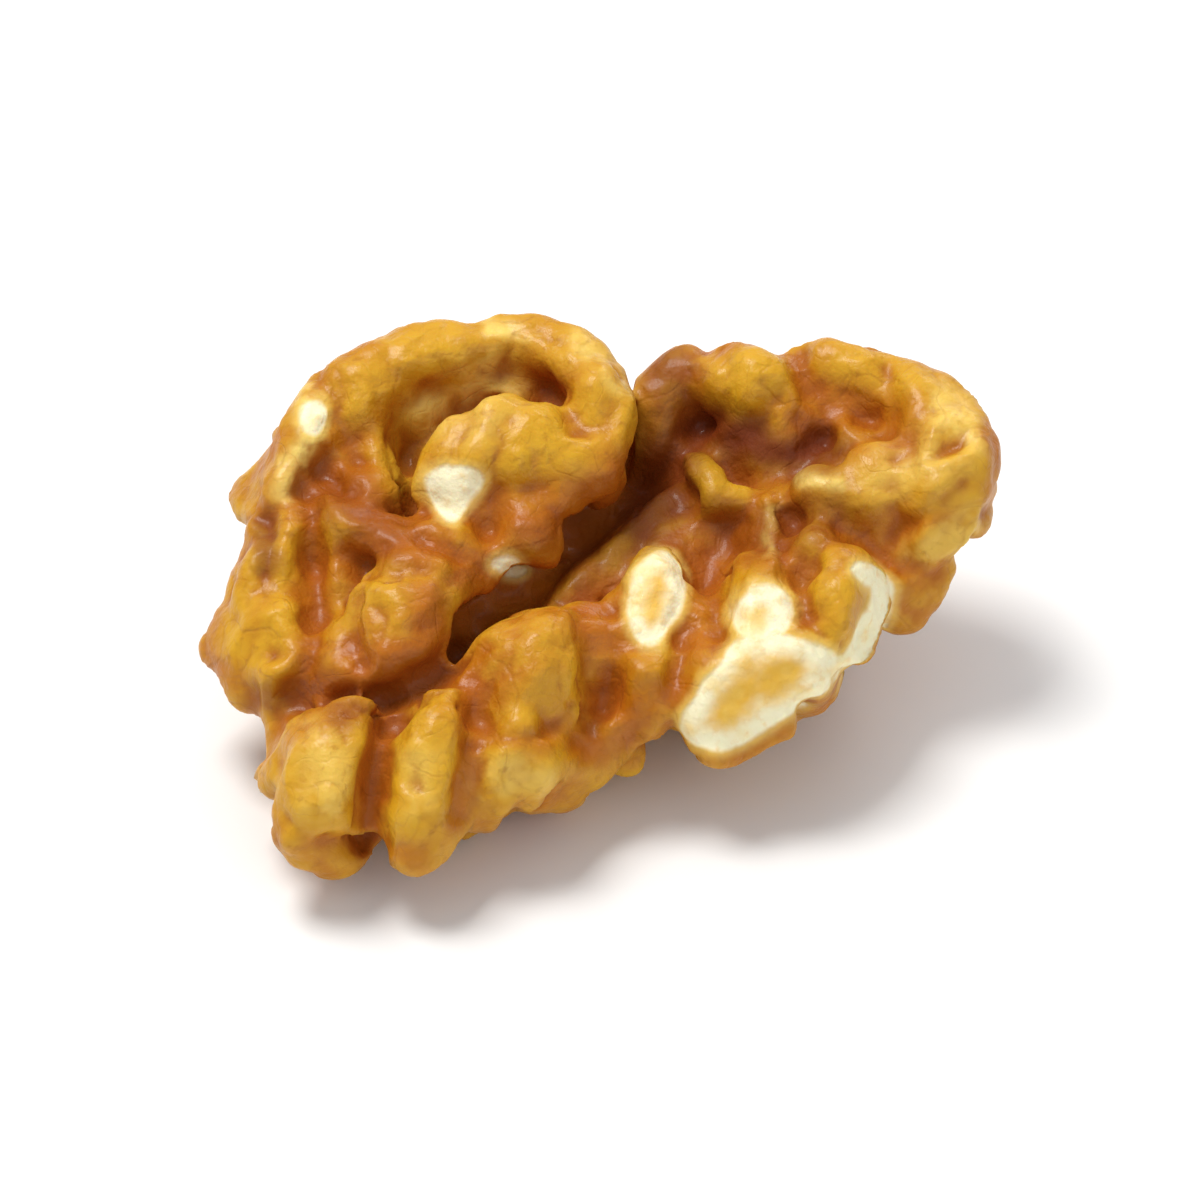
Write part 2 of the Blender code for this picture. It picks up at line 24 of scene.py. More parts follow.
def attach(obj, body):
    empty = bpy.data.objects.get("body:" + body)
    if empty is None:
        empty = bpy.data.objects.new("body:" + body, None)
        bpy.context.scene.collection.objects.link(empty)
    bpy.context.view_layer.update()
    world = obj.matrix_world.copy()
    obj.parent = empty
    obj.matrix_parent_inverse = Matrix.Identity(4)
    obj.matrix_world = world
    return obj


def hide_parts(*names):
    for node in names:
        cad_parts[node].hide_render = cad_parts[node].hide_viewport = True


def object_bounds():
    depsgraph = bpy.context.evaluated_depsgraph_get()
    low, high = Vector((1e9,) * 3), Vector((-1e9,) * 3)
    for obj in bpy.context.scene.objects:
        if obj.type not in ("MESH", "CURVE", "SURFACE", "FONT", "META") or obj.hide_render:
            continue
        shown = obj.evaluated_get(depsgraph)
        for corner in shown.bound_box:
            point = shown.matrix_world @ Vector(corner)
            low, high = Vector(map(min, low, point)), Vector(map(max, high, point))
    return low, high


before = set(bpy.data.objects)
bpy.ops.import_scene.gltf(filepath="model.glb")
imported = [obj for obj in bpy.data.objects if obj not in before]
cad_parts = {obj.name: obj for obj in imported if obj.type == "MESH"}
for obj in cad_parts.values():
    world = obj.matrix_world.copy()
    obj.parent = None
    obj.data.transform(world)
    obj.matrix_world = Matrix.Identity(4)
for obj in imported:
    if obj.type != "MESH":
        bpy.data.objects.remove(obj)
CAD_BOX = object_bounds()

log = logging.getLogger("walnut")

MM = 0.001
VIEW_ELEVATION = math.radians(41)  # the photograph's viewing angle, with the kernel as it rests
KERNEL_ORIGIN = (0.637, 5.801)  # the photograph's measuring point, across and up as the camera sees it
SEED = 5
GOLDEN_ANGLE = math.pi * (3 - math.sqrt(5))
MIX_SOCKETS = {"FLOAT": (0, 2, 3, 0), "RGBA": (0, 6, 7, 2)}  # a Mix node's factor, both values and result

TOWARDS_CAMERA = np.array([0.0, -math.cos(VIEW_ELEVATION), math.sin(VIEW_ELEVATION)])

Colour = tuple[float, float, float]
Path = tuple[tuple[float, float], ...]
Socket = bpy.types.NodeSocket
Value = Union[Socket, float, Colour]


class Lamp(Enum):
    """What each lamp of the studio is for."""

    KEY = "key"
    FILL = "fill"
    RIM = "rim"


class Tint(Enum):
    """The tones that lie over the skin's own gold, painted shade among them."""

    # Painted shade: darkens the furrow, the hollows and the creases
    PAINTED_SHADE = "painted_shade"
    AMBER = "amber"
    GOLD = "gold"
    PALE = "pale"


class Graph:
    """A node material and short names for the nodes that the finishes use."""

    def __init__(self, name: str) -> None:
        """Start an empty Principled material.

        Args:
            name: The material's name.
        """
        self.material = bpy.data.materials.new(name)
        self.material.use_nodes = True
        self.tree = self.material.node_tree
        self.shader = self.tree.nodes["Principled BSDF"]

    def constants(self, values: dict[str, Union[float, tuple[float, ...]]]) -> None:
        """Set some of the shader's own sockets.

        Args:
            values: A constant for each socket's name.
        """
        for name, value in values.items():
            self.shader.inputs[name].default_value = value

    def node(self, kind: str, **settings: str) -> bpy.types.Node:
        """Add a node.

        Args:
            kind: The node's Blender type.
            **settings: Properties to set on it.

        Returns:
            The new node.
        """
        made = self.tree.nodes.new(kind)
        for name, value in settings.items():
            setattr(made, name, value)
        return made

    def link(self, source: Socket, target: Socket) -> None:
        """Join an output to an input."""
        self.tree.links.new(source, target)

    def feed(self, socket: Socket, value: Value) -> None:
        """Set an input to a constant, or link it if the value is an output.

        Args:
            socket: The input.
            value: A number, a colour or another node's output.
        """
        if isinstance(value, Socket):
            self.link(value, socket)
        elif isinstance(value, tuple):
            socket.default_value = (*value, 1.0)
        else:
            socket.default_value = value

    def attribute(self, name: str) -> Socket:
        """The value of one of the mesh's own attributes."""
        return self.node("ShaderNodeAttribute", attribute_name=name).outputs["Fac"]

    def clouds(self, place: Socket, scale: float, detail: float) -> bpy.types.Node:
        """Add a noise texture.

        Args:
            place: The coordinates.
            scale: Clouds per metre.
            detail: Octaves.

        Returns:
            The noise's node.
        """
        made = self.node("ShaderNodeTexNoise")
        made.inputs["Scale"].default_value = scale
        made.inputs["Detail"].default_value = detail
        self.link(place, made.inputs["Vector"])
        return made

    def noise(self, place: Socket, scale: float, detail: float) -> Socket:
        """A cloudy value between 0 and 1."""
        return self.clouds(place, scale, detail).outputs["Fac"]

    def warp(self, place: Socket, scale: float, reach: float) -> Socket:
        """Coordinates that wander, so that lines drawn on them bend.

        Args:
            place: The coordinates to bend.
            scale: Bends per metre.
            reach: How far they wander, in metres.

        Returns:
            The bent coordinates.
        """
        shift = self.node("ShaderNodeVectorMath", operation="SCALE")
        shift.inputs["Scale"].default_value = reach * 2
        self.link(self.clouds(place, scale, detail=2).outputs["Color"], shift.inputs[0])
        added = self.node("ShaderNodeVectorMath", operation="ADD")
        self.link(place, added.inputs[0])
        self.link(shift.outputs[0], added.inputs[1])
        return added.outputs[0]

    def lines(self, clouds: Socket, width: float) -> Socket:
        """Wandering lines along the middle level of some clouds.

        Args:
            clouds: A noise's value.
            width: Half the lines' width, in the noise's own steps.

        Returns:
            1 on a line and 0 off it.
        """
        off_line = self.ramp(self.math("ABSOLUTE", self.sub(clouds, 0.5), 0.0), 0.0, width)
        return self.sub(1.0, off_line)

    def between(self, value: Socket, low: float, high: float) -> Socket:
        """Stretch a value from 0..1 to low..high.

        Args:
            value: The value.
            low: The result at 0.
            high: The result at 1.

        Returns:
            The stretched value.
        """
        made = self.node("ShaderNodeMapRange")
        made.inputs["To Min"].default_value = low
        made.inputs["To Max"].default_value = high
        self.link(value, made.inputs["Value"])
        return made.outputs["Result"]

    def ramp(self, value: Socket, start: float, stop: float) -> Socket:
        """A smooth step.

        Args:
            value: The value.
            start: Where the step begins, at 0.
            stop: Where it ends, at 1.

        Returns:
            The step's height.
        """
        made = self.node("ShaderNodeMapRange", interpolation_type="SMOOTHSTEP")
        made.inputs["From Min"].default_value = start
        made.inputs["From Max"].default_value = stop
        self.link(value, made.inputs["Value"])
        return made.outputs["Result"]

    def math(self, operation: str, a: Value, b: Value) -> Socket:
        """One sum on two values.

        Args:
            operation: The sum's Blender name.
            a: The first value.
            b: The second value.

        Returns:
            The result.
        """
        made = self.node("ShaderNodeMath", operation=operation)
        self.feed(made.inputs[0], a)
        self.feed(made.inputs[1], b)
        return made.outputs[0]

    def add(self, a: Value, b: Value) -> Socket:
        """The sum of two values."""
        return self.math("ADD", a, b)

    def sub(self, a: Value, b: Value) -> Socket:
        """The difference of two values."""
        return self.math("SUBTRACT", a, b)

    def times(self, a: Value, b: Value) -> Socket:
        """The product of two values."""
        return self.math("MULTIPLY", a, b)

    def mix(self, kind: str, share: Socket, a: Value, b: Value) -> Socket:
        """Go from a to b.

        Args:
            kind: FLOAT for numbers or RGBA for colours.
            share: How far, from 0 to 1.
            a: The value at 0.
            b: The value at 1.

        Returns:
            The value in between.
        """
        factor, first, second, result = MIX_SOCKETS[kind]
        made = self.node("ShaderNodeMix", data_type=kind)
        self.feed(made.inputs[factor], share)
        self.feed(made.inputs[first], a)
        self.feed(made.inputs[second], b)
        return made.outputs[result]

    def coats(self, ground: Colour, coats: tuple[tuple[Socket, float, Colour], ...]) -> Socket:
        """Lay thin coats of colour over each other.

        Args:
            ground: The colour underneath.
            coats: Where each coat lies, how strong it is and its colour, from the lowest up.

        Returns:
            The colour on top.
        """
        top = ground
        for where, strength, colour in coats:
            top = self.mix("RGBA", self.times(where, strength), top, colour)
        return top


@dataclass(frozen=True)
class AmberSkin:
    """The kernel's thin skin, and the meat that shows where it is broken.

    Scales are clouds per metre, and widths are in the noise's own steps.
    """

    gold: Colour = (0.57, 0.26, 0.008)
    # The brighter gold is the lobes' own, and also a painted highlight on the ridges and painted light in the
    # shaded recess
    bright_gold: Colour = (0.71, 0.395, 0.018)
    # Straw is the skin's own pale tone, and also painted highlights on the rims and painted light in the
    # shaded recess
    straw: Colour = (0.93, 0.68, 0.17)
    # Orange is the skin's own orange in patches and strokes, and also painted shade in the hollows and
    # valleys
    orange: Colour = (0.43, 0.108, 0.003)
    # Painted shade: the red-brown laid deep in the hollows
    hollow_shade: Colour = (0.24, 0.038, 0.0020)
    # Painted shade: the darker red-brown laid along the furrow and creases
    deep_shade: Colour = (0.16, 0.023, 0.0010)
    # The vein colour is the veins' own, and also painted shade in the fine grooves
    vein: Colour = (0.28, 0.065, 0.004)
    cream: Colour = (0.96, 0.89, 0.60)
    butter: Colour = (0.80, 0.45, 0.050)
    blotch_scale: float = 620
    grain_scale: float = 1900
    bend_scale: float = 420
    bend_reach: float = 0.9
    vein_scale: float = 300
    vein_width: float = 0.03
    thread_scale: float = 760
    thread_width: float = 0.05
    ragged_edge: float = 0.35
    bump_strength: float = 0.8
    bump_height: float = 0.14
    satin: tuple[float, float] = (0.28, 0.52)
    dulling: float = 0.25
    meat_roughness: float = 0.62
    shine: float = 0.22
    glow: float = 0.12
    glow_spread: Colour = (1.0, 0.42, 0.12)
    glow_depth: float = 0.8
    gloss: float = 0.13
    gloss_roughness: float = 0.16

    def material(self) -> bpy.types.Material:
        """Build the skin's node material.

        Returns:
            The material, which reads the kernel's own attributes and Object coordinates.
        """
        graph = Graph("walnut_skin")
        place = graph.node("ShaderNodeTexCoord").outputs["Object"]
        blotches = graph.noise(place, self.blotch_scale, detail=3)
        grain = graph.noise(place, self.grain_scale, detail=3)
        bent = graph.warp(place, self.bend_scale, self.bend_reach * MM)
        veins = graph.lines(graph.noise(bent, self.vein_scale, detail=1), self.vein_width)
        threads = graph.lines(graph.noise(bent, self.thread_scale, detail=1), self.thread_width)

        uneven = graph.times(graph.sub(blotches, 0.5), self.ragged_edge)
        ragged = graph.add(graph.attribute("broken"), uneven)
        bare = graph.ramp(ragged, 0.38, 0.62)
        skin = self.skin_colour(graph, blotches, grain, veins, threads, ragged)
        colour = graph.mix("RGBA", bare, skin, self.meat_colour(graph, blotches, grain))
        graph.link(colour, graph.shader.inputs["Base Color"])

        creases = graph.add(graph.times(veins, 0.16), graph.times(threads, 0.10))
        wrinkles = graph.sub(graph.add(grain, graph.times(blotches, 1.4)), creases)
        bump = graph.node("ShaderNodeBump")
        bump.inputs["Strength"].default_value = self.bump_strength
        bump.inputs["Distance"].default_value = self.bump_height * MM
        graph.link(graph.mix("FLOAT", bare, wrinkles, graph.times(grain, 1.2)), bump.inputs["Height"])
        graph.link(bump.outputs["Normal"], graph.shader.inputs["Normal"])

        sunken = graph.ramp(graph.attribute("hollow"), 0.15, 0.55)
        dull = graph.times(graph.math("MAXIMUM", sunken, graph.attribute(Tint.PAINTED_SHADE.value)), self.dulling)
        rough = graph.add(graph.between(blotches, *self.satin), dull)
        graph.link(graph.mix("FLOAT", bare, rough, self.meat_roughness), graph.shader.inputs["Roughness"])
        graph.constants({
            "Specular IOR Level": self.shine,
            "Subsurface Weight": self.glow,
            "Subsurface Radius": self.glow_spread,
            "Subsurface Scale": self.glow_depth * MM,
            "Coat Weight": self.gloss,
            "Coat Roughness": self.gloss_roughness,
        })
        return graph.material

    def skin_colour(self, graph: Graph, blotches: Socket, grain: Socket, veins: Socket, threads: Socket,
                    ragged: Socket) -> Socket:
        """Lay the skin's tones over each other, from gold on the lobes to red-brown painted shade in the
        folds, with painted highlights on the ridges and rims.

        Args:
            graph: The material's nodes.
            blotches: Clouds of a millimetre or two.
            grain: Clouds of half a millimetre.
            veins: Broad dark lines.
            threads: Fine dark lines.
            ragged: How near a broken spot is, with an uneven edge.

        Returns:
            The skin's colour.
        """
        hollow = graph.attribute("hollow")
        # The painted shade in the hollows is kept off the gold strokes
        open_skin = graph.sub(1.0, graph.attribute(Tint.GOLD.value))
        patchy = graph.times(graph.attribute(Tint.PALE.value), graph.ramp(blotches, 0.30, 0.52))
        return graph.coats(self.gold, (
            (graph.ramp(graph.attribute("cloud"), 0.36, 0.64), 0.80, self.orange),
            (graph.ramp(blotches, 0.50, 0.30), 0.35, self.orange),
            (graph.ramp(blotches, 0.42, 0.68), 0.45, self.bright_gold),
            # Painted highlight: brighter gold on the ridges
            (graph.attribute("ridge"), 0.45, self.bright_gold),
            (graph.attribute(Tint.GOLD.value), 0.65, self.bright_gold),
            (graph.attribute(Tint.AMBER.value), 0.90, self.orange),
            # The pale strokes are the skin's own pale patches, and in places painted highlights on the rims
            (patchy, 1.00, self.straw),
            # Painted shade: orange where the hollow closes in over the skin
            (graph.times(graph.ramp(hollow, 0.26, 0.58), open_skin), 0.90, self.orange),
            # Painted shade: orange in the valleys
            (graph.attribute("valley"), 0.70, self.orange),
            (veins, 0.14, self.vein),
            (threads, 0.08, self.vein),
            (graph.ramp(grain, 0.58, 0.74), 0.28, self.vein),
            # Painted shade: the vein colour in the fine grooves
            (graph.attribute("groove"), 0.38, self.vein),
            # Painted shade: red-brown deep in the hollows
            (graph.times(graph.ramp(hollow, 0.70, 1.0), open_skin), 0.40, self.hollow_shade),
            # Painted shade: the darker red-brown along the furrow and creases
            (graph.attribute(Tint.PAINTED_SHADE.value), 1.00, self.deep_shade),
            (graph.ramp(ragged, 0.05, 0.50), 0.55, self.straw),
        ))

    def meat_colour(self, graph: Graph, blotches: Socket, grain: Socket) -> Socket:
        """Colour the broken meat, cream at its edge and buttery in its middle.

        Args:
            graph: The material's nodes.
            blotches: Clouds of a millimetre or two.
            grain: Clouds of half a millimetre.

        Returns:
            The meat's colour.
        """
        core = graph.add(graph.attribute("core"), graph.times(graph.sub(blotches, 0.5), 1.1))
        return graph.coats(self.cream, (
            (graph.ramp(core, 0.15, 1.0), 1.00, self.butter),
            (graph.ramp(blotches, 0.48, 0.72), 0.35, self.straw),
            (graph.ramp(grain, 0.50, 0.72), 0.35, self.butter),
        ))


@dataclass(frozen=True)
class PaleBoard:
    """The matt pale floor."""

    colour: Colour = (0.92, 0.92, 0.92)
    roughness: float = 0.62

    def material(self) -> bpy.types.Material:
        """Build the floor's material.

        Returns:
            The material.
        """
        graph = Graph("pale_board")
        graph.constants({"Base Color": (*self.colour, 1.0), "Roughness": self.roughness})
        return graph.material


@dataclass(frozen=True)
class Stroke:
    """A run of one tone over the skin that faces the camera, as the camera sees it."""

    tint: Tint
    half_width: float
    strength: float
    points: Path


@dataclass(frozen=True)
class Fold:
    """A fine ridge, or below zero a crease, in the skin that faces the camera."""

    height: float
    half_width: float
    points: Path


@dataclass(frozen=True)
class BrokenSpot:
    """A place where the skin and a little meat have chipped off, as the camera sees it.

    The core says how buttery its middle is, and the level how flat it broke, both from 0 up.
    """

    outline: Path
    core: float = 1.0
    level: float = 0.0


class Sheet:
    """The kernel's mesh as arrays in millimetres, with the sums that shape it."""

    grazing: float = 0.02  # skin turned less than this to the camera, as a cosine, is out of view
    coming_round: float = 0.25  # how much more turn brings it fully into view
    clear_of_skin: float = 0.12  # how far off the skin a line of sight starts

    def __init__(self, mesh: bpy.types.Mesh) -> None:
        """Read a mesh.

        Args:
            mesh: The mesh to shape.
        """
        self.mesh = mesh
        flat = np.empty(len(mesh.vertices) * 3)
        mesh.vertices.foreach_get("co", flat)
        self.places = flat.reshape(-1, 3) / MM
        pairs = np.empty(len(mesh.edges) * 2, dtype=np.int64)
        mesh.edges.foreach_get("vertices", pairs)
        self.edges = pairs.reshape(-1, 2)
        self.degree = np.bincount(pairs, minlength=len(self.places))

    def store(self) -> None:
        """Write the places back to the mesh."""
        self.mesh.vertices.foreach_set("co", (self.places * MM).ravel())
        self.mesh.update()

    def normals(self) -> np.ndarray:
        """The normals of the shape as it is now.

        Returns:
            One unit normal for each vertex.
        """
        self.store()
        flat = np.empty(len(self.mesh.vertices) * 3)
        self.mesh.vertices.foreach_get("normal", flat)
        return flat.reshape(-1, 3)

    def averaged(self, values: np.ndarray, rounds: int) -> np.ndarray:
        """Spread values over the surface.

        Args:
            values: A number or a vector for each vertex.
            rounds: How many times each value moves half way to its neighbours' mean.

        Returns:
            The softened values.
        """
        wide = values.reshape(len(self.places), -1)
        start, stop = self.edges[:, 0], self.edges[:, 1]
        for _ in range(rounds):
            total = np.empty_like(wide)
            for column in range(wide.shape[1]):
                total[:, column] = (np.bincount(start, wide[stop, column], len(wide))
                                    + np.bincount(stop, wide[start, column], len(wide)))
            wide = 0.5 * wide + 0.5 * total / self.degree[:, None]
        return wide.reshape(values.shape)

    def relief(self, rounds: int) -> np.ndarray:
        """How far each vertex stands out of the softened shape.

        Args:
            rounds: How soft the shape is that it is compared with.

        Returns:
            Millimetres, above 0 on ridges and below 0 in grooves.
        """
        softened = self.averaged(self.places, rounds)
        return ((self.places - softened) * self.normals()).sum(axis=1)

    def tree(self) -> BVHTree:
        """The shape as it is now, ready for rays."""
        return BVHTree.FromPolygons([tuple(place) for place in self.places],
                                    [tuple(face.vertices) for face in self.mesh.polygons])

    def in_view(self) -> np.ndarray:
        """How much each vertex is the skin that the camera sees.

        Returns:
            1 in plain view, 0 where it faces away or lies behind another fold.
        """
        normals = self.normals()
        facing = normals @ TOWARDS_CAMERA
        tree = self.tree()
        way = Vector(TOWARDS_CAMERA)
        open_air = np.zeros(len(facing))
        for row in np.flatnonzero(facing > self.grazing):
            start = Vector(self.places[row] + self.clear_of_skin * normals[row])
            open_air[row] = tree.ray_cast(start, way)[0] is None
        return self.averaged(open_air, 2) * np.clip((facing - self.grazing) / self.coming_round, 0, 1)

    def seen(self) -> tuple[np.ndarray, np.ndarray, np.ndarray]:
        """Where the camera sees each vertex.

        Returns:
            Across, up and towards the camera, in millimetres from the photograph's measuring point.
        """
        x, y, z = self.places.T
        sine, cosine = math.sin(VIEW_ELEVATION), math.cos(VIEW_ELEVATION)
        return x - KERNEL_ORIGIN[0], y * sine + z * cosine - KERNEL_ORIGIN[1], z * sine - y * cosine


# Each stroke: its tone, half its width and its strength, and its run across and up
STROKES = (
    # These first twelve strokes are painted shade: they darken the furrow, the hollows and the creases
    Stroke(Tint.PAINTED_SHADE, 1.4, 0.60, ((2.2, 9.8), (3.0, 8.0), (3.1, 6.2), (2.6, 4.8))),
    Stroke(Tint.PAINTED_SHADE, 1.9, 0.85, ((2.8, 6.6), (2.2, 5.0), (1.8, 3.9), (1.3, 3.0))),
    Stroke(Tint.PAINTED_SHADE, 1.0, 0.55, ((1.8, 2.8), (0.2, 1.7), (-1.4, 0.7))),
    Stroke(Tint.PAINTED_SHADE, 0.9, 0.40, ((-7.4, -3.2), (-8.4, -3.9), (-9.8, -4.7), (-11.6, -5.2))),
    Stroke(Tint.PAINTED_SHADE, 1.2, 0.95, ((3.6, 7.0), (4.9, 6.6), (6.3, 6.2), (7.9, 5.9), (9.0, 6.2))),
    Stroke(Tint.PAINTED_SHADE, 1.3, 0.50, ((3.4, 3.4), (5.2, 2.6), (7.6, 2.5), (9.6, 3.2))),
    Stroke(Tint.PAINTED_SHADE, 0.7, 0.30, ((-2.8, 8.9), (-4.2, 9.1))),
    Stroke(Tint.PAINTED_SHADE, 0.6, 0.60, ((-15.3, 2.9), (-15.1, 1.7), (-15.3, 0.8))),
    Stroke(Tint.PAINTED_SHADE, 1.3, 0.38, ((-12.6, 4.4), (-11.2, 3.4), (-10.0, 2.2))),
    Stroke(Tint.PAINTED_SHADE, 1.1, 0.36, ((-3.6, 2.2), (-2.0, 2.6), (-0.6, 3.6), (0.4, 5.0))),
    Stroke(Tint.PAINTED_SHADE, 0.8, 0.35, ((-12.8, -3.8), (-13.8, -4.8), (-15.0, -5.2))),
    Stroke(Tint.PAINTED_SHADE, 0.6, 0.30, ((-6.2, 0.6), (-7.4, -0.2), (-7.8, -1.4))),
    # Painted light: the next gold and pale strokes lighten the recess under the left rim, which its walls
    # shade
    Stroke(Tint.GOLD, 1.3, 1.00, ((-5.0, 9.4), (-6.6, 8.9), (-8.0, 7.8), (-9.0, 6.2), (-9.4, 4.6))),
    Stroke(Tint.PALE, 1.1, 0.65, ((-5.4, 9.2), (-6.8, 8.7), (-8.0, 7.6))),
    Stroke(Tint.AMBER, 1.3, 0.90, ((-13.0, 4.4), (-11.4, 4.4), (-10.2, 3.2), (-9.1, 2.4))),
    Stroke(Tint.AMBER, 0.8, 0.80, ((-10.5, 1.7), (-8.8, 1.7), (-6.7, 1.2), (-5.6, 0.1))),
    Stroke(Tint.AMBER, 1.2, 0.90, ((-4.6, 3.2), (-2.6, 2.6), (-0.8, 3.6), (0.2, 5.0))),
    Stroke(Tint.AMBER, 1.0, 0.90, ((-8.2, -0.6), (-8.2, -2.6), (-10.2, -4.0), (-12.2, -4.4))),
    Stroke(Tint.AMBER, 0.9, 0.85, ((-13.2, 0.8), (-13.3, -1.6), (-13.2, -3.8))),
    Stroke(Tint.AMBER, 1.2, 0.65, ((8.8, 7.8), (10.9, 7.7), (12.6, 7.4))),
    Stroke(Tint.AMBER, 1.3, 0.60, ((-0.8, -0.4), (0.0, -2.8), (1.0, -4.6), (0.0, -6.0))),
    Stroke(Tint.AMBER, 0.9, 0.70, ((3.2, -2.6), (3.8, -1.0), (4.0, 0.6), (5.4, 1.6), (7.6, 1.0))),
    Stroke(Tint.AMBER, 0.6, 0.60, ((-5.8, -6.1), (-4.0, -6.6), (-2.0, -6.2), (-0.8, -7.2))),
    Stroke(Tint.AMBER, 0.5, 0.90, ((-9.6, -5.4), (-10.1, -7.6), (-10.4, -9.4), (-10.6, -11.0))),
    Stroke(Tint.AMBER, 0.5, 0.80, ((-6.2, -4.2), (-6.3, -6.2), (-6.5, -8.4), (-6.7, -10.0))),
    Stroke(Tint.AMBER, 0.7, 0.60, ((16.4, 6.8), (16.9, 4.8), (16.4, 2.6))),
    Stroke(Tint.GOLD, 1.0, 0.60, ((-3.0, -2.4), (-2.6, -3.8), (-3.6, -5.0))),
    Stroke(Tint.GOLD, 1.5, 0.85, ((-12.8, -7.4), (-12.4, -9.4))),
    Stroke(Tint.GOLD, 1.1, 0.90, ((-8.3, -7.4), (-8.4, -9.8))),
    Stroke(Tint.GOLD, 1.2, 0.85, ((-5.2, -8.0), (-4.2, -8.8), (-3.0, -8.0))),
    Stroke(Tint.GOLD, 0.9, 0.80, ((-16.3, -2.2), (-15.6, -3.1), (-14.4, -1.7), (-14.1, 1.5))),
    Stroke(Tint.GOLD, 1.0, 0.40, ((-10.5, 0.1), (-9.5, -0.5), (-9.8, -1.6))),
    Stroke(Tint.GOLD, 1.2, 0.85, ((-11.8, 8.4), (-9.5, 10.2), (-7.0, 11.2), (-4.0, 11.3), (-1.2, 10.5),
                                  (0.4, 8.6), (0.5, 6.4))),
    Stroke(Tint.GOLD, 1.6, 0.90, ((-6.6, 6.2), (-4.9, 6.0), (-3.0, 6.2), (-1.6, 6.8))),
    Stroke(Tint.GOLD, 1.2, 0.90, ((10.2, 9.8), (13.0, 8.9), (15.0, 7.2), (15.2, 5.6),
                                  (13.8, 4.4), (11.8, 4.4), (9.8, 4.6))),
    Stroke(Tint.GOLD, 1.0, 0.70, ((5.0, 9.6), (6.4, 9.2), (7.6, 8.4))),
    Stroke(Tint.GOLD, 1.0, 0.90, ((13.7, 1.8), (15.1, 2.2), (15.8, 3.1))),
    Stroke(Tint.GOLD, 1.2, 0.90, ((8.4, 0.4), (9.6, -0.4), (9.4, -2.0))),
    Stroke(Tint.GOLD, 0.5, 1.00, ((3.6, 5.3), (4.3, 4.4), (5.6, 4.2))),
    Stroke(Tint.PALE, 0.6, 1.00, ((-13.5, 8.4), (-12.9, 7.0), (-13.6, 5.8))),
    Stroke(Tint.PALE, 0.5, 0.70, ((-14.2, 5.2), (-14.5, 4.2))),
    # Painted highlights: the next two pale strokes are glints along the left rim's top
    Stroke(Tint.PALE, 0.5, 0.80, ((-5.6, 11.5), (-4.0, 11.2))),
    Stroke(Tint.PALE, 0.5, 0.60, ((-1.8, 10.8), (-0.4, 9.8), (0.2, 8.8))),
    Stroke(Tint.PALE, 0.4, 0.80, ((8.2, 4.8), (9.8, 4.5))),
    # Painted highlight: a glint on the right rim
    Stroke(Tint.PALE, 0.9, 0.60, ((14.2, 7.9), (15.3, 6.6))),
    Stroke(Tint.PALE, 1.2, 0.35, ((12.0, 4.8), (14.2, 5.8))),
    Stroke(Tint.PALE, 0.9, 0.35, ((13.4, 1.6), (15.4, 2.6))),
    Stroke(Tint.PALE, 1.1, 0.40, ((-12.6, -7.0), (-12.2, -9.0))),
    Stroke(Tint.PALE, 0.6, 0.35, ((-8.4, -7.2), (-8.4, -9.4))),
    Stroke(Tint.PALE, 1.0, 0.40, ((-5.2, -8.2), (-3.4, -8.4))),
    # Painted highlight: a glint on the inner lobe's upper edge
    Stroke(Tint.PALE, 0.8, 0.30, ((-6.4, 7.0), (-5.0, 7.2))),
    Stroke(Tint.PALE, 0.3, 0.55, ((6.7, 3.4), (6.8, 1.4))),
)

# Each fold: its height and half its width, and its run across and up
FOLDS = (
    Fold(-0.50, 0.65, ((-6.8, -3.0), (-8.0, -4.0), (-9.6, -4.8), (-11.4, -5.2))),
    Fold(0.25, 0.30, ((6.7, 3.6), (6.9, 2.4), (6.8, 1.0))),
    Fold(-0.45, 0.55, ((-15.3, 3.0), (-15.1, 1.8), (-15.3, 0.6))),
    Fold(-0.24, 0.40, ((-6.7, -4.6), (-5.6, -6.2), (-3.6, -6.6), (-1.9, -5.6), (-1.2, -3.6), (-1.5, -1.4))),
    Fold(0.16, 0.50, ((-6.6, -4.0), (-4.6, -2.7), (-2.6, -1.6))),
    Fold(-0.22, 0.40, ((-10.9, 0.9), (-11.2, -1.2), (-11.0, -3.2))),
    Fold(-0.25, 0.45, ((-10.0, -5.6), (-10.2, -7.8), (-10.6, -9.7), (-10.8, -11.2))),
    Fold(-0.20, 0.50, ((-0.6, -5.6), (-1.2, -7.6))),
    Fold(-0.25, 0.50, ((8.2, 10.4), (8.4, 8.6), (8.0, 7.4))),
    Fold(-0.20, 0.50, ((4.6, 10.6), (5.0, 8.8), (4.6, 7.6))),
    Fold(-0.22, 0.40, ((8.0, 1.2), (8.0, 0.0), (8.2, -1.2))),
    Fold(-0.16, 0.35, ((10.5, 0.4), (10.9, -0.6), (10.4, -2.4), (9.4, -3.4))),
    Fold(-0.22, 0.45, ((12.0, 3.2), (13.0, 2.6), (13.6, 3.4), (15.0, 4.4))),
    Fold(-0.18, 0.45, ((-14.0, 4.2), (-12.9, 5.6), (-12.4, 7.2))),
)

